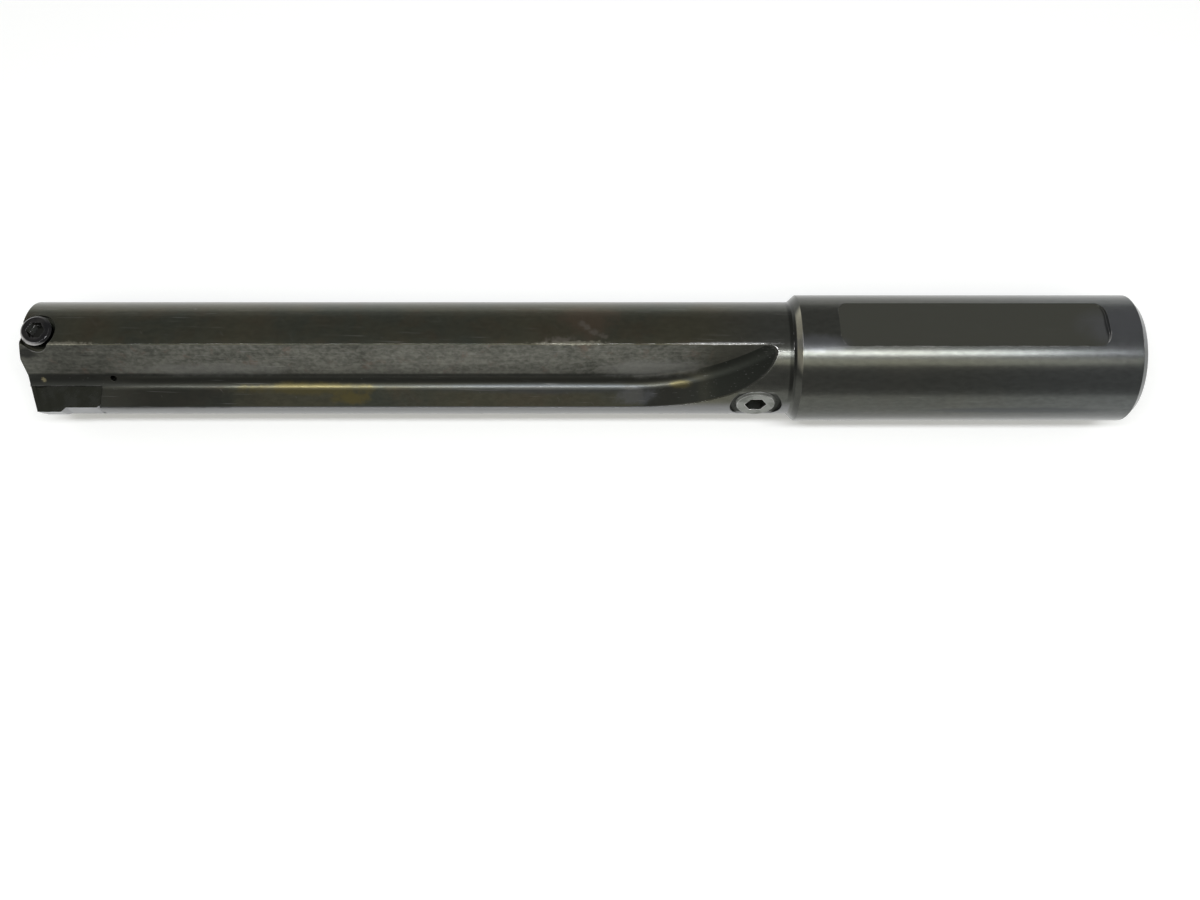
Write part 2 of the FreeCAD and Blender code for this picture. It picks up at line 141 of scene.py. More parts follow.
# %% [markdown]
# Steel wears first where it is thin and proud: along its edges. A Bevel node rounds the normal
# near an edge, so the angle between the rounded normal and the plain one is large only there.
# The difference, broken up by a noise, is a mask for bare bright edges.

# %% Group: worn edges
BEVEL_SAMPLES = 6
PATCH_LIMIT, PATCH_SOFTNESS = 0.95, 0.18


def make_worn_edges():
    tree, given, result = start_group(
        "worn edges", {"Width": mm(0.25), "Gain": 8.0, "Patch Scale": 300.0, "Cover": 0.5})
    rounded = add_node(tree, "ShaderNodeBevel", {"samples": BEVEL_SAMPLES},
                       {"Radius": given.outputs["Width"]})
    plain = tree.nodes.new("ShaderNodeNewGeometry")
    likeness = add_node(tree, "ShaderNodeVectorMath", {"operation": "DOT_PRODUCT"},
                        {0: rounded.outputs["Normal"], 1: plain.outputs["Normal"]})
    edge = calculate(tree, "SUBTRACT", 1.0, likeness.outputs["Value"])
    edge = calculate(tree, "MULTIPLY", edge, given.outputs["Gain"], clamp=True)
    place = tree.nodes.new("ShaderNodeTexCoord")
    patches = add_node(tree, "ShaderNodeTexNoise", None,
                       {"Vector": place.outputs["Object"], "Scale": given.outputs["Patch Scale"],
                        "Detail": 5.0, "Roughness": 0.65})
    low = calculate(tree, "SUBTRACT", PATCH_LIMIT, given.outputs["Cover"])
    high = calculate(tree, "ADD", low, PATCH_SOFTNESS)
    patches = remap(tree, patches.outputs["Fac"], low, high)
    tree.links.new(calculate(tree, "MULTIPLY", edge, patches, clamp=True), result.inputs[0])
    return tree


worn_edges = make_worn_edges()
print("group:", worn_edges.name)

# %% [markdown]
# Black oxide is never one even black. Oil, handling and the etching bath leave soft blotches
# from a few millimetres to a few centimetres across. A noise between two limits gives them.

# %% Group: blotches
def make_blotches():
    tree, given, result = start_group(
        "blotches", {"Scale": 60.0, "Stretch": (1.0, 1.0, 1.0), "Low": 0.4, "High": 0.6})
    place = tree.nodes.new("ShaderNodeTexCoord")
    stretched = add_node(tree, "ShaderNodeMapping", None,
                         {"Vector": place.outputs["Object"], "Scale": given.outputs["Stretch"]})
    noise = add_node(tree, "ShaderNodeTexNoise", None,
                     {"Vector": stretched.outputs["Vector"], "Scale": given.outputs["Scale"],
                      "Detail": 6.0, "Roughness": 0.62, "Distortion": 0.3})
    mask = remap(tree, noise.outputs["Fac"], given.outputs["Low"], given.outputs["High"])
    tree.links.new(mask, result.inputs[0])
    return tree


blotches = make_blotches()
print("group:", blotches.name)

# %% [markdown]
# A chip that is dragged along steel leaves a hair line. Here the object's coordinates are turned
# a little and then squeezed along the line's direction, so that a noise becomes long thin streaks,
# and only its highest values are kept.

# %% Group: scratches
def make_scratches():
    tree, given, result = start_group(
        "scratches", {"Turn": (0.0, 0.0, 0.0), "Squeeze": (0.03, 1.0, 1.0), "Scale": 2500.0,
                      "Low": 0.66, "High": 0.74})
    place = tree.nodes.new("ShaderNodeTexCoord")
    turned = add_node(tree, "ShaderNodeMapping", None,
                      {"Vector": place.outputs["Object"], "Rotation": given.outputs["Turn"]})
    squeezed = add_node(tree, "ShaderNodeMapping", None,
                        {"Vector": turned.outputs["Vector"], "Scale": given.outputs["Squeeze"]})
    noise = add_node(tree, "ShaderNodeTexNoise", None,
                     {"Vector": squeezed.outputs["Vector"], "Scale": given.outputs["Scale"],
                      "Detail": 2.0, "Roughness": 0.5})
    mask = remap(tree, noise.outputs["Fac"], given.outputs["Low"], given.outputs["High"])
    tree.links.new(mask, result.inputs[0])
    return tree


scratches = make_scratches()
print("group:", scratches.name)

# %% [markdown]
# Some marks have a place: a smear of rust in the middle of the body, bright metal where chips
# have rubbed, and painted shade and painted highlights. The group measures how far a point lies
# from a centre, with a reach of its own along each axis, and frays the rim of that egg shape with a
# noise.

# %% Group: local mark
MARK_CORE, MARK_RIM = 0.35, 1.0
NOISE_MIDDLE, FULL_SWING = 0.5, 2.0


def make_local_mark():
    tree, given, result = start_group(
        "local mark", {"Centre": (0.0, 0.0, 0.0), "Reach": (0.01, 0.01, 0.01), "Fray": 0.8,
                       "Fray Scale": 200.0})
    place = tree.nodes.new("ShaderNodeTexCoord")
    away = add_node(tree, "ShaderNodeVectorMath", {"operation": "SUBTRACT"},
                    {0: place.outputs["Object"], 1: given.outputs["Centre"]})
    scaled = add_node(tree, "ShaderNodeVectorMath", {"operation": "DIVIDE"},
                      {0: away.outputs["Vector"], 1: given.outputs["Reach"]})
    distance = add_node(tree, "ShaderNodeVectorMath", {"operation": "LENGTH"},
                        {0: scaled.outputs["Vector"]})
    noise = add_node(tree, "ShaderNodeTexNoise", None,
                     {"Vector": place.outputs["Object"], "Scale": given.outputs["Fray Scale"],
                      "Detail": 6.0, "Roughness": 0.7})
    swing = calculate(tree, "SUBTRACT", noise.outputs["Fac"], NOISE_MIDDLE)
    shake = calculate(tree, "MULTIPLY", swing,
                      calculate(tree, "MULTIPLY", given.outputs["Fray"], FULL_SWING))
    frayed = calculate(tree, "ADD", distance.outputs["Value"], shake)
    tree.links.new(remap(tree, frayed, MARK_CORE, MARK_RIM, 1.0, 0.0), result.inputs[0])
    return tree


local_mark = make_local_mark()
print("group:", local_mark.name)

# %% [markdown]
# A milled flute keeps the marks of its cutter: fine, slightly uneven lines across the feed. Ground
# and turned steel has the same thing as rings round its axis. A noise that changes quickly along X
# and hardly at all across it gives both.

# %% Group: tool marks
def make_tool_marks():
    tree, given, result = start_group("tool marks", {"Pitch": 2500.0, "Waver": 0.02}, "Height")
    place = tree.nodes.new("ShaderNodeTexCoord")
    parts = add_node(tree, "ShaderNodeSeparateXYZ", None, {"Vector": place.outputs["Object"]})
    across = calculate(tree, "MULTIPLY", parts.outputs["Y"], given.outputs["Waver"])
    upward = calculate(tree, "MULTIPLY", parts.outputs["Z"], given.outputs["Waver"])
    joined = add_node(tree, "ShaderNodeCombineXYZ", None,
                      {"X": parts.outputs["X"], "Y": across, "Z": upward})
    noise = add_node(tree, "ShaderNodeTexNoise", None,
                     {"Vector": joined.outputs["Vector"], "Scale": given.outputs["Pitch"],
                      "Detail": 3.0, "Roughness": 0.7})
    tree.links.new(noise.outputs["Fac"], result.inputs[0])
    return tree


tool_marks = make_tool_marks()
print("group:", tool_marks.name)

# %% [markdown]
# The materials share one ending. A Bump node turns heights into a normal, and it starts from the
# Bevel node's rounded normal, so that even an edge with no rounding in the mesh catches a line of
# light, as real ones do.

# %% A material's start and end
def start_material(name):
    """A new material with an empty tree."""
    material = bpy.data.materials.new(name)
    material.use_nodes = True
    tree = material.node_tree
    tree.nodes.clear()
    return material, tree


def end_material(tree, colour, roughness, height, depth=mm(0.02), edge=mm(0.15)):
    """Bare metal's shader and the output; depth and edge are sizes, the rest are sockets."""
    rounded = add_node(tree, "ShaderNodeBevel", {"samples": BEVEL_SAMPLES}, {"Radius": edge})
    bump = add_node(tree, "ShaderNodeBump", None,
                    {"Height": height, "Distance": depth, "Strength": 1.0,
                     "Normal": rounded.outputs["Normal"]})
    shader = add_node(tree, "ShaderNodeBsdfPrincipled", None,
                      {"Base Color": colour, "Roughness": roughness, "Metallic": 1.0,
                       "Normal": bump.outputs["Normal"]})
    output = tree.nodes.new("ShaderNodeOutputMaterial")
    tree.links.new(shader.outputs["BSDF"], output.inputs["Surface"])


print("groups:", sorted(group.name for group in bpy.data.node_groups))

# %% [markdown]
# The marks on the holder have places of their own: the lands, the flutes' walls, the ridge. A
# point's X, its height above the middle plane and its distance from the axis are enough to tell
# these apart. The lower flute is the upper one turned half a turn, so heights are taken without
# their sign. A mask comes on after a span and goes off before one, and a span is its two ends.

# %% Where a point lies on the holder
def lie_of_point(tree):
    """X, the height without sign, Y as on the upper half, and the distance from the axis."""
    place = tree.nodes.new("ShaderNodeTexCoord")
    parts = add_node(tree, "ShaderNodeSeparateXYZ", None, {"Vector": place.outputs["Object"]})
    height = calculate(tree, "ABSOLUTE", parts.outputs["Z"])
    across = calculate(tree, "MULTIPLY", parts.outputs["Y"],
                       calculate(tree, "SIGN", parts.outputs["Z"]))
    squares = calculate(tree, "ADD", calculate(tree, "MULTIPLY", across, across),
                        calculate(tree, "MULTIPLY", height, height))
    return parts.outputs["X"], height, across, calculate(tree, "SQRT", squares)


def span_mm(start, end):
    """A span given in millimetres."""
    return mm(start), mm(end)


def after(tree, value, span, full=1.0):
    """A mask that comes on over a span."""
    return remap(tree, value, *span, 0.0, full)


def before(tree, value, span, full=1.0):
    """A mask that goes off over a span."""
    return remap(tree, value, *span, full, 0.0)


def both(tree, *masks):
    """Where every one of the masks is on: their product."""
    result = masks[0]
    for mask in masks[1:]:
        result = calculate(tree, "MULTIPLY", result, mask)
    return result


def facing_along(tree, direction):
    """How nearly a face's own normal lies along a direction, either way round, from 0 to 1."""
    geometry = tree.nodes.new("ShaderNodeNewGeometry")
    made = add_node(tree, "ShaderNodeVectorMath", {"operation": "DOT_PRODUCT"},
                    {0: geometry.outputs["True Normal"], 1: direction})
    return calculate(tree, "ABSOLUTE", made.outputs["Value"])


ALONG_TOOL = (1.0, 0.0, 0.0)
ACROSS_TOOL = (0.0, 1.0, 0.0)
WALL_DIRECTION = (0.0, -math.cos(WALL_LEAN), math.sin(WALL_LEAN))
FLAT_DIRECTION = (0.0, math.sin(FLAT_TURN), math.cos(FLAT_TURN))
print("wall faces", [round(part, 3) for part in WALL_DIRECTION])
print("flat faces", [round(part, 3) for part in FLAT_DIRECTION])

# %% [markdown]
# The holder is hardened steel with a black oxide finish: a thin dark layer that looks olive where
# it is oily and more neutral where it is dry. Two blotch masks mix three tones of it, and a fine
# grain keeps any patch from being even. The ground shank takes the oxide more neutrally, and its
# colour gets paler towards its end.

# %% The oxide's tones
OLIVE_BLACK = (0.096, 0.092, 0.065, 1.0)
GREEN_BLACK = (0.074, 0.080, 0.064, 1.0)
BROWN_BLACK = (0.094, 0.080, 0.056, 1.0)
SHANK_BLACK = (0.086, 0.089, 0.082, 1.0)
SHANK_GREY = (0.104, 0.110, 0.108, 1.0)
SHADE = (0.55, 0.55, 0.55, 1.0)
WHITE = (1.0, 1.0, 1.0, 1.0)
BROWN_SHARE = 0.7
SHANK_SHARE = 0.8
GRAIN_SHARE = 0.45
TOWARDS_SHANK = span_mm(-28.0, -6.0)
PALER_END = (mm(30.0), SHANK_END)


def oxide_tones(tree, along):
    """The oxide's colour, and the small blotches it is made with."""
    wide = place_group(tree, blotches, Scale=24.0, Low=0.42, High=0.66)
    small = place_group(tree, blotches, Scale=140.0, Low=0.45, High=0.72)
    grain = place_group(tree, blotches, Scale=1100.0, Stretch=(0.5, 1.0, 1.0),
                        Low=0.30, High=0.72)
    colour = mix_colours(tree, wide, OLIVE_BLACK, GREEN_BLACK)
    colour = mix_colours(tree, both(tree, small, BROWN_SHARE), colour, BROWN_BLACK)
    to_the_shank = after(tree, along, TOWARDS_SHANK, SHANK_SHARE)
    colour = mix_colours(tree, to_the_shank, colour, SHANK_BLACK)
    colour = mix_colours(tree, after(tree, along, PALER_END), colour, SHANK_GREY)
    shading = mix_colours(tree, both(tree, grain, GRAIN_SHARE), WHITE, SHADE)
    return mix_colours(tree, 1.0, colour, shading, blend="MULTIPLY"), small


print("oxide from", OLIVE_BLACK[:3], "to", SHANK_GREY[:3])

# %% [markdown]
# The flutes' inside is where the body's surface lies nearer to the axis than its outside. At the
# shank's end the cutter lifts out of the body. In this runout the wall has fewer scuffs, since
# fewer chips rub so high up, and the root is darkened with painted shade.

# %% The flutes' inside
SHOULDER_START = span_mm(-2.2, -1.8)
BODY_SKIN = span_mm(13.7, 14.0)
RUNOUT_FADE = span_mm(-32.0, -12.0)


def flute_inside(tree, along, radius):
    """Masks of the body's outside and of the flutes' inside, and one that fades in the runout."""
    on_body = before(tree, along, SHOULDER_START)
    outside = after(tree, radius, BODY_SKIN)
    inside = both(tree, calculate(tree, "SUBTRACT", 1.0, outside), on_body)
    return both(tree, outside, on_body), inside, before(tree, along, RUNOUT_FADE)


print("the runout fades from %.0f to %.0f mm" % tuple(1000 * end for end in RUNOUT_FADE))

# %% [markdown]
# Chips slide along the flutes' walls and scuff the oxide grey. The scuffs are a grain about as big
# as a chip's curl, streaks along the flute, and wide patches. Their sum picks a colour between two
# greys, paler low on the wall, and it also goes into the height, so that the wall looks dull next
# to the rest. Towards the nose and in the runout there is less of it. A few spots have rusted.

# %% The scuffed walls
SCUFF_DARK = (0.064, 0.065, 0.055, 1.0)
SCUFF_LIGHT = (0.211, 0.209, 0.181, 1.0)
SCUFF_RED = (0.150, 0.105, 0.085, 1.0)
RED_SHARE = 0.5
FACING_WALL = (0.990, 0.999)
WALL_HEIGHTS = span_mm(5.0, 13.5)
MORE_LOW, LESS_HIGH = 0.06, -0.10
FROM_NOSE = span_mm(-192.0, -140.0)
NOSE_SCUFF, RUNOUT_SCUFF, RUNOUT_COVER = 0.80, 0.25, 0.35
# Each scuff: its share in the sum, and the blotches' values.
SCUFFS = (
    (0.44, {"Scale": 1000.0, "Stretch": (0.75, 1.0, 1.0), "Low": 0.34, "High": 0.68}),
    (0.20, {"Scale": 900.0, "Stretch": (0.03, 1.0, 1.0), "Low": 0.38, "High": 0.70}),
    (0.22, {"Scale": 300.0, "Stretch": (0.6, 1.0, 1.0), "Low": 0.34, "High": 0.66}),
    (0.22, {"Scale": 60.0, "Stretch": (0.5, 1.0, 1.0), "Low": 0.38, "High": 0.62}),
)


def scuffed_walls(tree, colour, along, height, inside, before_runout):
    """The colour with the walls scuffed, the walls' mask and the scuffs' height."""
    on_wall = both(tree, after(tree, facing_along(tree, WALL_DIRECTION), FACING_WALL), inside)
    scuff = remap(tree, height, *WALL_HEIGHTS, MORE_LOW, LESS_HIGH)
    for share, values in SCUFFS:
        layer = both(tree, place_group(tree, blotches, **values), share)
        scuff = calculate(tree, "ADD", layer, scuff)
    scuff = both(tree, scuff, remap(tree, before_runout, 0.0, 1.0, RUNOUT_SCUFF, 1.0),
                 remap(tree, along, *FROM_NOSE, NOSE_SCUFF, 1.0))
    grey = mix_colours(tree, scuff, SCUFF_DARK, SCUFF_LIGHT)
    rust = place_group(tree, blotches, Scale=330.0, Low=0.56, High=0.72)
    grey = mix_colours(tree, both(tree, rust, RED_SHARE), grey, SCUFF_RED)
    cover = both(tree, on_wall, remap(tree, before_runout, 0.0, 1.0, RUNOUT_COVER, 1.0))
    return mix_colours(tree, cover, colour, grey), on_wall, both(tree, scuff, on_wall)


print("layers of scuffs:", len(SCUFFS))

# %% [markdown]
# The lands, the narrow strips of the outside on either side of the blade, rub on the bore and turn
# silvery. The flat on the shank is ground lighter as well, and the step at its far end has a
# painted highlight. Painted shade darkens other places: the hollow between a flute's wall and its
# floor, the runout, the foot of the shoulder, and the corner beside the blade. The shoulder's rim
# has a painted highlight on top and painted shade lower down.

# %% Lands, flat, painted highlights and painted shade
LAND_GREY = (0.155, 0.157, 0.158, 1.0)
FLAT_GREY = (0.122, 0.124, 0.104, 1.0)
# Painted light: the end step's highlight, shade, runout shade, the rim's highlight (also nicks).
FLAT_END_HIGHLIGHT = (0.450, 0.450, 0.430, 1.0)
PAINTED_SHADE = (0.036, 0.037, 0.033, 1.0)
RUNOUT_SHADE = (0.024, 0.026, 0.022, 1.0)
RIM_HIGHLIGHT_AND_NICK = (0.450, 0.430, 0.340, 1.0)
FACING_FLAT = (0.9990, 0.9998)
FACING_END = (0.5, 0.9)
# Places along the tool.
BLADE_TAIL = span_mm(-175.5, -173.0)
RUNOUT = span_mm(-32.0, -19.0)
SHOULDER_FOOT = span_mm(-3.1, -2.6)
RIM_START = span_mm(-1.4, -1.1)
RIM_END = span_mm(-0.1, 0.1)
SHANK_START = span_mm(0.0, 1.0)
FLAT_END = span_mm(76.5, 78.0)
# Heights above the middle plane, and the flat's distance from the axis.
LAND_EDGE = span_mm(2.0, 5.5)
FLOOR_LEVEL = span_mm(2.33, 2.46)
ROOT_TOP = span_mm(4.4, 5.2)
CORNER_TOP = span_mm(3.0, 5.0)
SHADE_LEVEL = span_mm(4.0, 8.0)
RIM_TOP = span_mm(12.6, 14.6)
FLAT_DISTANCE = span_mm(13.0, 13.5)


def lands_and_painted_light(tree, colour, along, height, radius, outside, inside):
    """The colour with lands, flat, painted highlights and shade, and the lands' mask."""
    land = both(tree, outside, before(tree, height, LAND_EDGE))
    colour = mix_colours(tree, land, colour, LAND_GREY)

    on_shank = after(tree, along, SHANK_START)
    on_flat = after(tree, facing_along(tree, FLAT_DIRECTION), FACING_FLAT)
    colour = mix_colours(tree, both(tree, on_flat, on_shank), colour, FLAT_GREY)
    # The step at the flat's far end gets a painted highlight.
    flat_end = both(tree, after(tree, facing_along(tree, ALONG_TOOL), FACING_END), on_shank,
                    before(tree, along, FLAT_END), after(tree, radius, FLAT_DISTANCE))
    colour = mix_colours(tree, flat_end, colour, FLAT_END_HIGHLIGHT)

    # Painted shade in the corner by the blade, in the root's hollow and in the runout.
    by_blade = both(tree, before(tree, along, BLADE_TAIL), before(tree, height, CORNER_TOP),
                    inside)
    in_root = both(tree, after(tree, height, FLOOR_LEVEL), before(tree, height, ROOT_TOP),
                   inside)
    in_runout = both(tree, after(tree, along, RUNOUT), inside,
                     before(tree, facing_along(tree, WALL_DIRECTION), FACING_WALL))
    # Painted shade at the shoulder's foot and under its rim, a painted highlight on the rim's top.
    on_foot = both(tree, after(tree, along, SHOULDER_FOOT), before(tree, along, RIM_START),
                   after(tree, height, SHADE_LEVEL))
    on_rim = both(tree, after(tree, along, RIM_START), before(tree, along, RIM_END))
    under_rim = both(tree, on_rim, before(tree, height, RIM_TOP))
    top_of_rim = both(tree, on_rim, after(tree, height, RIM_TOP))
    for place, strength, tint in (
            (by_blade, 0.85, PAINTED_SHADE), (in_root, 0.85, PAINTED_SHADE), (in_runout, 0.92, RUNOUT_SHADE),
            (on_foot, 0.95, PAINTED_SHADE), (under_rim, 0.60, PAINTED_SHADE), (top_of_rim, 0.80, RIM_HIGHLIGHT_AND_NICK)):
        colour = mix_colours(tree, both(tree, place, strength), colour, tint)
    return colour, land


print("shade_tint", PAINTED_SHADE[:3], "and rubbed lands", LAND_GREY[:3])

# %% [markdown]
# Old cutting oil dries to a golden film in the root of the flute, and wet handling has left a
# brown smear of rust on the crest, with a pale scrape through it. The walls have wide pale
# patches, the ridge has rows of nicks, and a painted dark reflection runs along the shank.
# Painted shade lies under the screw's head and on the floor beside the blade, a painted
# highlight widens the bright band where the shank begins, and a painted golden glint sits by
# the blade. These are local marks: a centre, a reach and a frayed rim. Farther along, the root
# is rubbed to a cooler grey.

# %% Stains and painted light
OIL_GOLD = (0.135, 0.112, 0.042, 1.0)
RUST_BROWN = (0.125, 0.094, 0.068, 1.0)
COOL_GREY = (0.066, 0.073, 0.083, 1.0)
PALE_GREY = (0.165, 0.170, 0.180, 1.0)
WALL_GREY = (0.215, 0.215, 0.198, 1.0)
SCRAPE = (0.200, 0.180, 0.155, 1.0)
# Tint of a painted dark reflection.
DARK_REFLECTION = (0.050, 0.054, 0.056, 1.0)
WORN_WHITE = (0.700, 0.700, 0.690, 1.0)
# Tint of a painted glint.
GOLD_GLINT = (0.600, 0.520, 0.300, 1.0)
# Each mark: tint, strength, centre and reach in millimetres, fray, fray scale.
STAINS_AND_PAINTED_LIGHT = (
    # A painted dark reflection along the shank's near side.
    (DARK_REFLECTION, 0.70, (54.0, -15.3, 4.2), (32.0, 3.0, 1.7), 0.4, 90.0),
    # A painted highlight that widens the shank's bright band where it begins.
    (PALE_GREY, 0.60, (3.5, -1.8, 15.8), (10.0, 2.8, 2.5), 0.4, 300.0),
    (PALE_GREY, 0.70, (79.0, 2.0, 14.0), (15.0, 9.0, 4.0), 0.4, 120.0),
    (WALL_GREY, 0.60, (-37.0, -5.0, 6.5), (16.0, 3.2, 4.5), 0.6, 160.0),
    (WALL_GREY, 0.45, (-147.0, -5.2, 6.0), (24.0, 2.2, 3.0), 0.7, 160.0),
    # Painted shadow under the screw's head, then painted shade on the floor beside the blade.
    (PAINTED_SHADE, 0.90, (-190.0, -3.2, 11.5), (3.6, 2.6, 3.0), 0.5, 400.0),
    (PAINTED_SHADE, 0.75, (-163.0, -11.0, 2.3), (34.0, 7.0, 1.5), 0.5, 90.0),
    (COOL_GREY, 0.50, (-62.0, -8.6, 2.3), (42.0, 2.4, 0.8), 0.3, 120.0),
    (OIL_GOLD, 0.55, (-121.0, -9.0, 2.3), (22.0, 2.2, 2.0), 0.8, 240.0),
    (OIL_GOLD, 0.75, (-111.5, -11.4, 2.3), (6.5, 2.2, 1.5), 0.8, 240.0),
    (OIL_GOLD, 0.45, (-28.8, -8.2, 3.4), (4.6, 1.4, 1.8), 0.5, 260.0),
    (PALE_GREY, 0.40, (-40.5, -11.0, 2.4), (6.5, 2.8, 2.0), 0.8, 260.0),
    (RUST_BROWN, 0.65, (-52.0, 5.0, 13.0), (9.0, 7.0, 9.0), 0.9, 150.0),
    (SCRAPE, 0.50, (-53.6, 4.2, 13.5), (1.3, 1.2, 1.5), 1.0, 700.0),
    (SCRAPE, 0.55, (-52.3, 3.0, 13.8), (1.4, 1.2, 1.5), 1.0, 700.0),
    (SCRAPE, 0.55, (-50.6, 1.7, 14.0), (1.6, 1.1, 1.5), 1.0, 700.0),
    (SCRAPE, 0.50, (-48.4, 0.6, 14.1), (1.6, 1.0, 1.5), 1.2, 700.0),
    (RIM_HIGHLIGHT_AND_NICK, 0.50, (-56.0, -1.2, 14.1), (10.0, 0.7, 0.7), 1.6, 1300.0),
    (SCRAPE, 0.60, (-59.0, -0.3, 14.1), (4.5, 1.0, 1.0), 2.0, 1300.0),
    (RIM_HIGHLIGHT_AND_NICK, 0.40, (-180.0, -1.3, 14.1), (9.0, 0.6, 0.6), 1.6, 1300.0),
    (WORN_WHITE, 0.60, (-17.5, -1.35, 14.1), (14.5, 0.5, 0.5), 0.8, 1200.0),
    # A painted golden glint beside the blade.
    (GOLD_GLINT, 0.40, (-188.4, -6.9, 3.2), (0.7, 0.7, 1.2), 1.6, 3000.0),
)


def with_local_marks(tree, colour):
    """The colour with every stain and every painted shade and highlight laid over it."""
    for tint, strength, centre, reach, fray, fray_scale in STAINS_AND_PAINTED_LIGHT:
        mask = place_group(tree, local_mark, Centre=tuple(mm(c) for c in centre),
                           Reach=tuple(mm(c) for c in reach), Fray=fray, Fray_Scale=fray_scale)
        colour = mix_colours(tree, both(tree, mask, strength), colour, tint)
    return colour


print("marks_of_stain_and_light:", len(STAINS_AND_PAINTED_LIGHT))

# %% [markdown]
# The ridge, where the wall meets the crest, is the edge that gets knocked. It is a line of bare
# nicks near the blade and nearly continuous towards the shank. All other edges keep most of their
# oxide. Hair lines lie mostly along the tool, and the ground shank has fewer of them.

# %% Nicks and hair lines
BARE_STEEL = (0.62, 0.61, 0.60, 1.0)
ONTO_SHANK = span_mm(-6.0, 0.0)
SHANK_LINES = 0.35
RIDGE_HEIGHT = span_mm(9.0, 12.5)
RIDGE_NEAR_SIDE = span_mm(-3.4, -2.4)
RIDGE_FAR_SIDE = span_mm(0.5, 2.0)
RIDGE_MIDDLE = span_mm(-90.0, -45.0)
RIDGE_END = span_mm(-30.0, -26.0)
# How much of an edge's oxide is worn off, and how bare a hair line is.
WEAR_NEAR_BLADE, WEAR_NEAR_SHANK, WEAR_AT_END = 0.36, 0.75, 2.2
WEAR_ELSEWHERE = 0.10
LINE_BARENESS = 0.11


def nicks_and_lines(tree, colour, along, height, across):
    """The colour with bare edges and hair lines, and the mask of the lines."""
    long_lines = place_group(tree, scratches, Turn=(0.0, 0.0, 0.03))
    short_lines = place_group(tree, scratches, Turn=(0.2, 0.1, 0.9), Squeeze=(0.05, 1.0, 1.0),
                              Scale=1800.0, Low=0.70, High=0.78)
    lines = both(tree, calculate(tree, "MAXIMUM", long_lines, short_lines),
                 remap(tree, along, *ONTO_SHANK, 1.0, SHANK_LINES))

    edges = place_group(tree, worn_edges, Width=mm(0.22), Gain=12.0, Cover=0.54)
    by_ridge = both(tree, after(tree, height, RIDGE_HEIGHT),
                    after(tree, across, RIDGE_NEAR_SIDE), before(tree, across, RIDGE_FAR_SIDE))
    ridge_wear = remap(tree, along, *RIDGE_MIDDLE, WEAR_NEAR_BLADE, WEAR_NEAR_SHANK)
    ridge_wear = calculate(tree, "ADD", ridge_wear, after(tree, along, RIDGE_END, WEAR_AT_END))
    wear = remap(tree, by_ridge, 0.0, 1.0, WEAR_ELSEWHERE, ridge_wear)
    bare = calculate(tree, "MAXIMUM", both(tree, lines, LINE_BARENESS), both(tree, edges, wear))
    return mix_colours(tree, bare, colour, BARE_STEEL), lines


print("bare steel", BARE_STEEL[:3])

# %% [markdown]
# Put together, the holder's material is these layers in the order in which they came about: oxide,
# scuffs, rubbing, stains, nicks. Roughness follows them, from a smooth oiled shank to dull walls,
# and so does the height.

# %% Material: the holder's black oxide
OILED_ROUGHNESS = (0.215, 0.235)
ROUGHER_INSIDE, ROUGHER_WALL, ROUGHER_LAND, ROUGHER_ENDS = 0.08, 0.20, 0.10, 0.22
FLUTE_END = span_mm(-32.0, -20.0)
FLUTE_START = span_mm(-176.0, -160.0)
MARK_HEIGHT, LINE_DEPTH, SCUFF_HEIGHT = 0.04, -0.10, 0.8


def make_black_oxide():
    material, tree = start_material("black oxide")
    along, height_up, across, radius = lie_of_point(tree)
    outside, inside, before_runout = flute_inside(tree, along, radius)
    colour, small = oxide_tones(tree, along)
    colour, on_wall, scuff = scuffed_walls(tree, colour, along, height_up, inside, before_runout)
    colour, land = lands_and_painted_light(tree, colour, along, height_up, radius, outside, inside)
    colour = with_local_marks(tree, colour)
    colour, lines = nicks_and_lines(tree, colour, along, height_up, across)

    roughness = remap(tree, small, 0.0, 1.0, *OILED_ROUGHNESS)
    ends = calculate(tree, "ADD", after(tree, along, FLUTE_END),
                     before(tree, along, FLUTE_START))
    at_ends = both(tree, inside, ends)
    for mask, more in ((inside, ROUGHER_INSIDE), (on_wall, ROUGHER_WALL), (land, ROUGHER_LAND),
                       (at_ends, ROUGHER_ENDS)):
        roughness = calculate(tree, "ADD", both(tree, mask, more), roughness)

    height = 0.0
    marks = place_group(tree, tool_marks)
    for layer, share in ((marks, MARK_HEIGHT), (lines, LINE_DEPTH), (scuff, SCUFF_HEIGHT)):
        height = calculate(tree, "ADD", both(tree, layer, share), height)
    end_material(tree, colour, roughness, height)
    return material


black_oxide = make_black_oxide()
print("material:", black_oxide.name)

# %% [markdown]
# The blade is darker than the holder. Its coating is nearly black, with a few fine scratches from
# chips and bright nicks on the lips. Its two sides are plain grey, as they are when they are ground
# after coating, and they are told apart here by the way they face.

# %% Material: the blade's dark coating
BLADE_BLACK = (0.047, 0.049, 0.038, 1.0)
BLADE_GREY = (0.058, 0.060, 0.052, 1.0)
GROUND_GREY = (0.240, 0.242, 0.250, 1.0)
FACING_SIDE = (0.55, 0.68)
BLADE_LINES, BLADE_NICKS, BLADE_LINE_DEPTH = 0.14, 0.5, -0.2
BLADE_ROUGHNESS = (0.24, 0.30)
GROUND_ROUGHER = 0.08


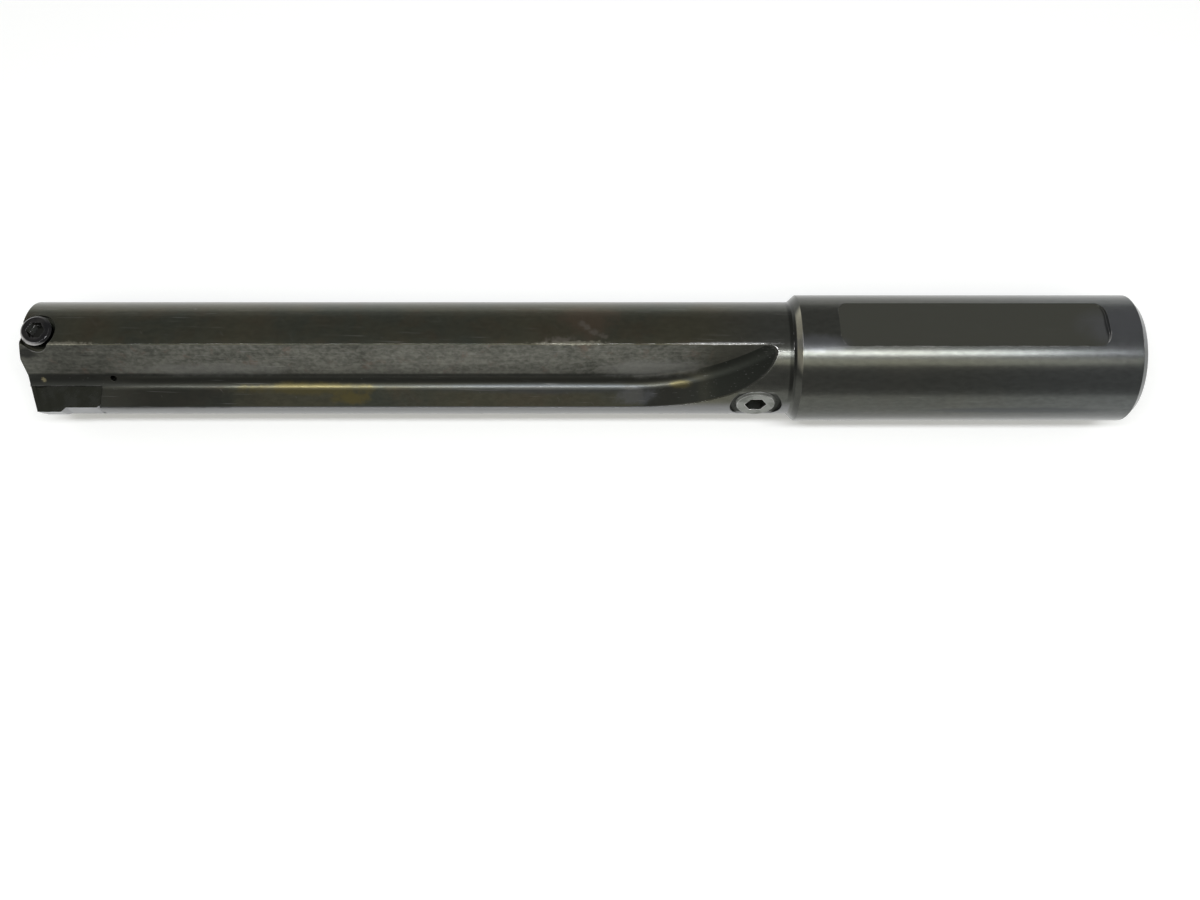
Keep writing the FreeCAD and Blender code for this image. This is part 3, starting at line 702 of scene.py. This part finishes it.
def make_blade_coating():
    material, tree = start_material("blade coating")
    cloud = place_group(tree, blotches, Scale=260.0, Low=0.35, High=0.70)
    colour = mix_colours(tree, cloud, BLADE_BLACK, BLADE_GREY)
    lines = place_group(tree, scratches, Turn=(0.0, 0.0, 0.6), Scale=3000.0, Low=0.68, High=0.76)
    edges = place_group(tree, worn_edges, Width=mm(0.10), Cover=0.36, Patch_Scale=900.0)
    bare = calculate(tree, "MAXIMUM", both(tree, lines, BLADE_LINES),
                     both(tree, edges, BLADE_NICKS))
    colour = mix_colours(tree, bare, colour, BARE_STEEL)
    on_side = after(tree, facing_along(tree, ACROSS_TOOL), FACING_SIDE)
    colour = mix_colours(tree, on_side, colour, GROUND_GREY)
    roughness = remap(tree, cloud, 0.0, 1.0, *BLADE_ROUGHNESS)
    roughness = calculate(tree, "ADD", both(tree, on_side, GROUND_ROUGHER), roughness)
    end_material(tree, colour, roughness, both(tree, lines, BLADE_LINE_DEPTH), edge=mm(0.08))
    return material


blade_coating = make_blade_coating()
print("material:", blade_coating.name)

# %% [markdown]
# The clamp screws are black too. A painted highlight lies as a bright crescent on one side of
# the head's rim: the part of a ring round the head's middle that lies far enough from a point on
# its other side. The head's sides are darkened with painted shade. Edges are worn a little on
# the head, and low in it, from about its key socket's floor down, they get a painted glint.

# %% Material: the screws
SCREW_BLACK = (0.034, 0.034, 0.036, 1.0)
SCREW_GREY = (0.062, 0.060, 0.058, 1.0)
# Where the crescent of painted highlight lies on the head.
HEAD_MIDDLE = (mm(-186.8), mm(2.0), 0.0)
HEAD_FAR_SIDE = (mm(-186.0), mm(3.3), 0.0)
RIM_RING = span_mm(2.95, 3.20)
HIGHLIGHT_REACH = span_mm(4.3, 5.1)
HEAD_TOP = span_mm(13.8, 14.1)
HEAD_SIDES = span_mm(13.6, 14.2)
# Below this level the edges get a painted glint; the head's sides take painted shade.
GLINT_LEVEL = span_mm(11.8, 12.2)
SHADE_SHARE = 0.8
GLINT_BELOW, WEAR_ABOVE = 0.9, 0.25
SCREW_ROUGHNESS = (0.16, 0.24)
HIGHLIGHT_ROUGHER = 0.25


def make_screw_black():
    material, tree = start_material("screw black")
    cloud = place_group(tree, blotches, Scale=300.0, Low=0.40, High=0.65)
    colour = mix_colours(tree, cloud, SCREW_BLACK, SCREW_GREY)
    edges = place_group(tree, worn_edges, Width=mm(0.30), Gain=8.0, Cover=0.55,
                        Patch_Scale=500.0)

    along, height_up, across, _ = lie_of_point(tree)
    seen_from_above = add_node(tree, "ShaderNodeCombineXYZ", None, {"X": along, "Y": across})
    from_middle, from_far_side = [
        add_node(tree, "ShaderNodeVectorMath", {"operation": "DISTANCE"},
                 {0: seen_from_above.outputs["Vector"], 1: centre}).outputs["Value"]
        for centre in (HEAD_MIDDLE, HEAD_FAR_SIDE)]
    # Painted highlight: a bright crescent on the head's rim.
    rim_highlight = both(tree, after(tree, from_middle, RIM_RING),
                    after(tree, from_far_side, HIGHLIGHT_REACH),
                    after(tree, height_up, HEAD_TOP))
    # Painted shade on the head's sides.
    shaded_sides = before(tree, height_up, HEAD_SIDES, SHADE_SHARE)
    colour = mix_colours(tree, shaded_sides, colour, PAINTED_SHADE)

    # Edges low in the head get a painted glint; above, they are only a little worn.
    worn = both(tree, edges, remap(tree, height_up, *GLINT_LEVEL, GLINT_BELOW, WEAR_ABOVE))
    colour = mix_colours(tree, calculate(tree, "MAXIMUM", worn, rim_highlight), colour, BARE_STEEL)
    roughness = remap(tree, cloud, 0.0, 1.0, *SCREW_ROUGHNESS)
    roughness = calculate(tree, "ADD", both(tree, rim_highlight, HIGHLIGHT_ROUGHER), roughness)
    end_material(tree, colour, roughness, cloud, depth=mm(0.004))
    return material


screw_black = make_screw_black()
print("material:", screw_black.name)

# %% [markdown]
# The plug in the side port was never blackened as deeply as the holder. It is a dull grey, cloudy
# with old oil, and its edges are worn bright.

# %% Material: the plug
PLUG_GREY = (0.21, 0.215, 0.20, 1.0)
PLUG_DARK = (0.13, 0.135, 0.12, 1.0)
PLUG_ROUGHNESS = (0.32, 0.48)


def make_plug_grey():
    material, tree = start_material("plug grey")
    cloud = place_group(tree, blotches, Scale=350.0, Low=0.42, High=0.68)
    colour = mix_colours(tree, cloud, PLUG_GREY, PLUG_DARK)
    edges = place_group(tree, worn_edges, Width=mm(0.3), Cover=0.6, Patch_Scale=600.0)
    colour = mix_colours(tree, edges, colour, BARE_STEEL)
    roughness = remap(tree, cloud, 0.0, 1.0, *PLUG_ROUGHNESS)
    end_material(tree, colour, roughness, cloud, depth=mm(0.006))
    return material


plug_grey = make_plug_grey()
print("material:", plug_grey.name)

# %% [markdown]
# A CAD node keeps its mesh and its place. Only what its material slots hold is exchanged.

# %% Give each node its material
FINISHES = {
    "holder": black_oxide,
    "spade_blade": blade_coating,
    "clamp_screw_upper": screw_black,
    "clamp_screw_lower": screw_black,
    "side_plug": plug_grey,
}


def dress(node_object, material):
    """Puts one material in all the slots of an object."""
    for slot in node_object.material_slots:
        slot.material = material


for name, finish in FINISHES.items():
    dress(nodes[name], finish)
    print("dressed", name, "in", finish.name)

# %% [markdown]
# The table is a plain pale sheet. Camera and mirror rays get a little more light back from it than
# it receives, which lifts it to white without any more light on the drill, and the shadow stays.

# %% The table
TABLE_SIZE = 8.0
TABLE_COLOUR = (0.90, 0.90, 0.885, 1.0)
TABLE_ROUGHNESS = 0.85
TABLE_LIFT = 0.25


def make_table():
    """One square sheet under the drill, put on the stage."""
    mesh = bpy.data.meshes.new("table")
    form = bmesh.new()
    bmesh.ops.create_grid(form, x_segments=1, y_segments=1, size=TABLE_SIZE / 2)
    bmesh.ops.translate(form, verts=form.verts, vec=(0.0, 0.0, TABLE_LEVEL))
    form.to_mesh(mesh)
    form.free()
    table = bpy.data.objects.new("table", mesh)
    bpy.context.scene.collection.objects.link(table)
    return table


def make_table_material():
    """A pale sheet that gives a little light back to the rays that look at it."""
    material, tree = start_material("pale table")
    shader = add_node(tree, "ShaderNodeBsdfPrincipled", None,
                      {"Base Color": TABLE_COLOUR, "Roughness": TABLE_ROUGHNESS})
    ray = tree.nodes.new("ShaderNodeLightPath")
    seen = calculate(tree, "ADD", ray.outputs["Is Camera Ray"], ray.outputs["Is Glossy Ray"])
    seen = calculate(tree, "ADD", seen, ray.outputs["Is Transmission Ray"], clamp=True)
    strength = calculate(tree, "MULTIPLY", seen, TABLE_LIFT)
    lift = add_node(tree, "ShaderNodeEmission", None,
                    {"Color": TABLE_COLOUR, "Strength": strength})
    lifted = add_node(tree, "ShaderNodeAddShader", None,
                      {0: shader.outputs["BSDF"], 1: lift.outputs["Emission"]})
    output = tree.nodes.new("ShaderNodeOutputMaterial")
    tree.links.new(lifted.outputs["Shader"], output.inputs["Surface"])
    return material


table = make_table()
table.data.materials.append(make_table_material())
print("table:", TABLE_SIZE, "m")

# %% [markdown]
# A polished cylinder shows its surroundings as bands along its length. The drill has one narrow
# bright band, a wider dim one beside it and dark ones round them, so the studio is a dim room with
# two long soft lamps above. The room is paler near the horizon, where a real one has its walls.

# %% The room
ROOM_ABOVE = 0.38
ROOM_AT_HORIZON = 0.50
HORIZON_WIDTH = 0.25


def make_room():
    """A white world, dimmer overhead than at the horizon."""
    world = bpy.data.worlds.new("room")
    world.use_nodes = True
    tree = world.node_tree
    tree.nodes.clear()
    place = tree.nodes.new("ShaderNodeTexCoord")
    parts = add_node(tree, "ShaderNodeSeparateXYZ", None, {"Vector": place.outputs["Generated"]})
    strength = remap(tree, parts.outputs["Z"], 0.0, HORIZON_WIDTH, ROOM_AT_HORIZON, ROOM_ABOVE)
    light = add_node(tree, "ShaderNodeBackground", None,
                     {"Color": WHITE, "Strength": strength})
    output = tree.nodes.new("ShaderNodeOutputWorld")
    tree.links.new(light.outputs["Background"], output.inputs["Surface"])
    bpy.context.scene.world = world


make_room()
print("room: %.2f above, %.2f at the horizon" % (ROOM_ABOVE, ROOM_AT_HORIZON))

# %% [markdown]
# Both lamps hang over the drill, a little towards the viewer. The narrow long lamp gives the
# bright band: its width sets how wide the band is, and its length lets the band run nearly the
# whole way along and fade before the shank's end. The side panel leans farther and is wide and
# weak. It gives the dim band, which is a little yellow.

# %% The lamps
LAMP_DISTANCE = 0.75
LONG_LAMP = {"lean": math.radians(11.0), "size": (0.74, 0.075), "power": 4.0,
             "colour": (0.94, 0.96, 1.0), "along": -0.04}
SIDE_PANEL = {"lean": math.radians(27.5), "size": (0.80, 0.26), "power": 1.15,
              "colour": (1.0, 0.98, 0.82), "along": 0.0}


def add_lamp(name, lean, size, power, colour, along):
    """An area lamp over the X axis that leans towards -Y by an angle from straight up."""
    data = bpy.data.lights.new(name, "AREA")
    data.shape = "RECTANGLE"
    data.size, data.size_y = size
    data.energy = power
    data.color = colour
    lamp = bpy.data.objects.new(name, data)
    lamp.location = (along, -LAMP_DISTANCE * math.sin(lean), LAMP_DISTANCE * math.cos(lean))
    lamp.rotation_euler = (-lean, 0.0, 0.0)
    bpy.context.scene.collection.objects.link(lamp)


add_lamp("long_lamp", **LONG_LAMP)
add_lamp("side_panel", **SIDE_PANEL)

# %% [markdown]
# The camera stands where the viewer stood: nearly above, leaning back towards the viewer. The
# picture is 1200 by 900, and on the drill's axis a millimetre is 3.93 of its pixels, with the axis
# on row 358 and the shank's beginning in column 793. Those numbers and the lean give the camera's
# place.

# %% The camera
FRAME_WIDTH, FRAME_HEIGHT = 1200, 900
PIXELS_PER_MM = 3.93
AXIS_ROW = 358.0
ORIGIN_COLUMN = 793.2
FOCAL_PIXELS = 1240.0
LEAN_BACK = math.radians(15.5)
SENSOR_WIDTH = 36.0
NEAREST, FARTHEST = 0.01, 50.0


def add_camera():
    """The camera that sees the axis on its row, at its scale and under its lean."""
    distance = mm(FOCAL_PIXELS / PIXELS_PER_MM)
    above_centre = mm((FRAME_HEIGHT / 2 - AXIS_ROW) / PIXELS_PER_MM)
    along = mm((FRAME_WIDTH / 2 - ORIGIN_COLUMN) / PIXELS_PER_MM)
    forward = Vector((0.0, math.sin(LEAN_BACK), -math.cos(LEAN_BACK)))
    upward = Vector((0.0, math.cos(LEAN_BACK), math.sin(LEAN_BACK)))
    data = bpy.data.cameras.new("camera")
    data.sensor_width = SENSOR_WIDTH
    data.lens = SENSOR_WIDTH * FOCAL_PIXELS / FRAME_WIDTH
    data.clip_start, data.clip_end = NEAREST, FARTHEST
    camera = bpy.data.objects.new("camera", data)
    camera.location = Vector((along, 0.0, 0.0)) - distance * forward - above_centre * upward
    camera.rotation_euler = (LEAN_BACK, 0.0, 0.0)
    bpy.context.scene.collection.objects.link(camera)
    bpy.context.scene.camera = camera
    return camera


camera = add_camera()
print("camera at", [round(1000 * c, 1) for c in camera.location], "mm")

# %% [markdown]
# The colours are shown as they are, without a film look.

# %% Finish
bpy.context.scene.view_settings.view_transform = "Standard"
